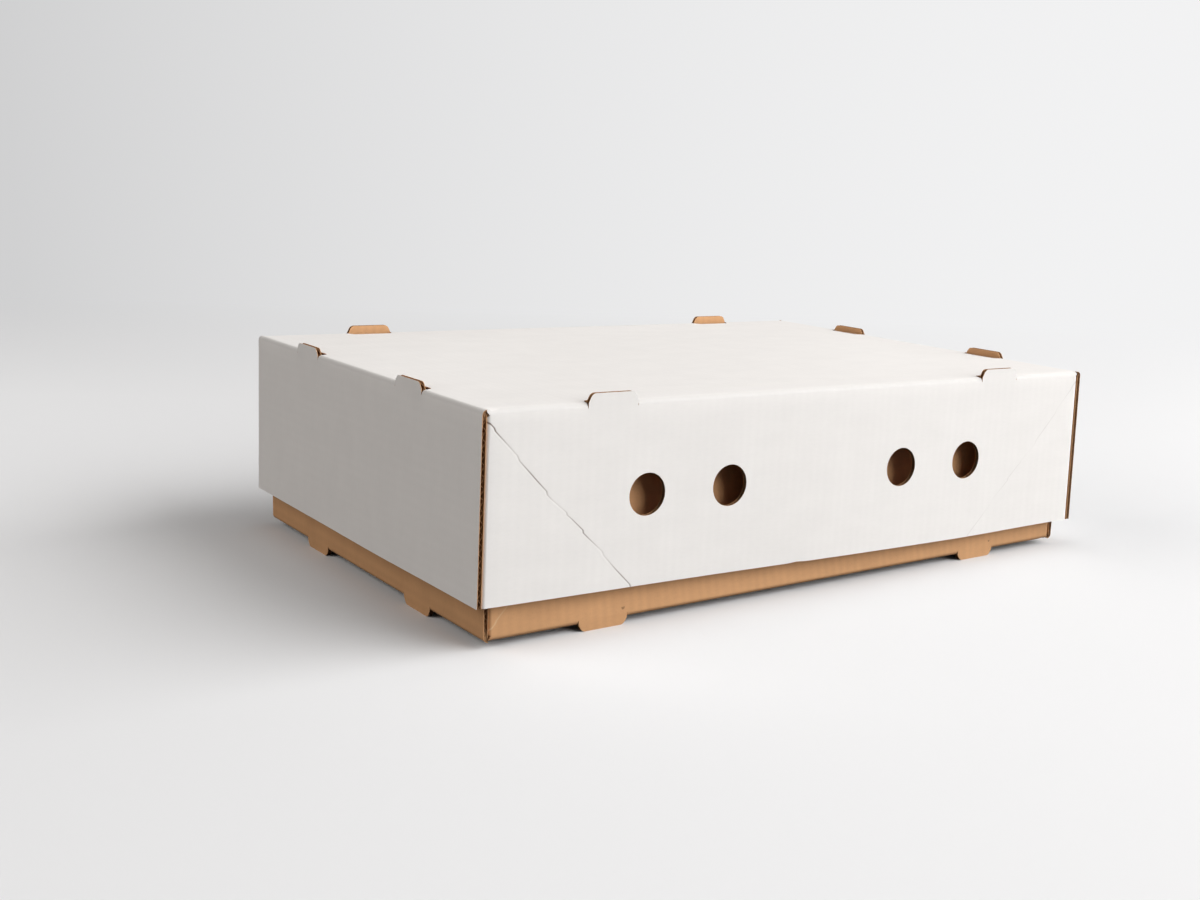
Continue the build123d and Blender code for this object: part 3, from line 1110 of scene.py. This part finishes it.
def add_backdrop(scene):
    """A pale floor that sweeps up into a backdrop behind the carton."""
    stage = scene.carton_stage
    half, front, back, radius, top, steps = 6.0, -4.0, 2.2, 1.6, 5.0, 24
    profile = [(front, 0.0), (0.0, 0.0), (back, 0.0)]
    for step in range(1, steps + 1):
        angle = math.pi / 2 * step / steps
        profile.append((back + radius * math.sin(angle), radius * (1 - math.cos(angle))))
    profile.append((back + radius, top))
    ahead = Vector((math.sin(stage.yaw), math.cos(stage.yaw), 0))
    right = Vector((ahead.y, -ahead.x, 0))
    points = []
    for away, height in profile:
        for side in (-half, half):
            points.append(ahead * away + right * side + Vector((0, 0, height)))
    faces = [(2 * i, 2 * i + 1, 2 * i + 3, 2 * i + 2) for i in range(len(profile) - 1)]
    mesh = bpy.data.meshes.new("backdrop")
    mesh.from_pydata(points, [], faces)
    mesh.polygons.foreach_set("use_smooth", np.ones(len(faces), bool))
    mesh.materials.append(backdrop_paper(stage, right, ahead))
    backdrop = bpy.data.objects.new("backdrop", mesh)
    scene.collection.objects.link(backdrop)


def add_lamp(scene, name, kind, toward, energy, distance=0):
    """A lamp that shines on the carton from the direction given."""
    lamp = bpy.data.lights.new(name, kind)
    lamp.energy = energy
    holder = bpy.data.objects.new(name, lamp)
    scene.collection.objects.link(holder)
    direction = Vector(toward).normalized()
    turn = direction.to_track_quat("Z", "Y").to_matrix().to_4x4()
    holder.matrix_world = Matrix.Translation(direction * distance) @ turn
    return holder


def add_lamps(scene):
    """A large round softbox, two broad far lamps and the light of the room."""
    stage = scene.carton_stage
    key = add_lamp(scene, "key", "AREA", (0.67, -0.63, 0.385), stage.key, 4.5)
    key.data.shape, key.data.size = "DISK", 6.8
    key.visible_camera = False
    overhead = add_lamp(scene, "overhead", "SUN", (0.6, -0.2, 1.0), stage.overhead)
    overhead.data.angle = math.radians(75)
    fill = add_lamp(scene, "fill", "SUN", (-0.85, 0.35, 0.5), stage.fill)
    fill.data.angle, fill.data.color = math.radians(50), (1.0, 0.965, 0.935)
    world = bpy.data.worlds.new("studio")
    world.use_nodes = True
    room = world.node_tree.nodes["Background"]
    room.inputs["Color"].default_value = (1, 0.99, 0.98, 1)
    room.inputs["Strength"].default_value = stage.room
    scene.world = world


class CARTON_OT_stage(bpy.types.Operator):
    """Set the floor, the lamps and the camera"""
    bl_idname = "carton.stage"
    bl_label = "Stage"

    def execute(self, context):
        scene = context.scene
        scene.view_settings.view_transform = "Standard"
        add_camera(scene)
        add_backdrop(scene)
        add_lamps(scene)
        return {"FINISHED"}


class CARTON_PT_panel(bpy.types.Panel):
    """The carton's operators and sizes"""
    bl_label = "Meat carton"
    bl_idname = "CARTON_PT_panel"
    bl_space_type = "VIEW_3D"
    bl_region_type = "UI"
    bl_category = "Carton"

    def draw(self, context):
        for operator in OPERATORS:
            self.layout.operator(operator.bl_idname)
        for group in GROUPS:
            box = self.layout.box()
            box.label(text=group.__doc__)
            settings = getattr(context.scene, GROUPS[group])
            for name in group.__annotations__:
                box.prop(settings, name)


GROUPS = {CartonBoard: "carton_board", CartonLid: "carton_lid", CartonTray: "carton_tray",
          CartonStage: "carton_stage"}
OPERATORS = [CARTON_OT_tray, CARTON_OT_lid, CARTON_OT_flutes, CARTON_OT_stage]


def register():
    for group, name in GROUPS.items():
        bpy.utils.register_class(group)
        setattr(bpy.types.Scene, name, PointerProperty(type=group))
    for operator in OPERATORS:
        bpy.utils.register_class(operator)
    bpy.utils.register_class(CARTON_PT_panel)


def unregister():
    bpy.utils.unregister_class(CARTON_PT_panel)
    for operator in reversed(OPERATORS):
        bpy.utils.unregister_class(operator)
    for group, name in GROUPS.items():
        delattr(bpy.types.Scene, name)
        bpy.utils.unregister_class(group)


def main():
    register()
    bpy.ops.carton.tray()
    bpy.ops.carton.lid()
    bpy.ops.carton.flutes()
    bpy.ops.carton.stage()


if __name__ == "__main__":
    main()
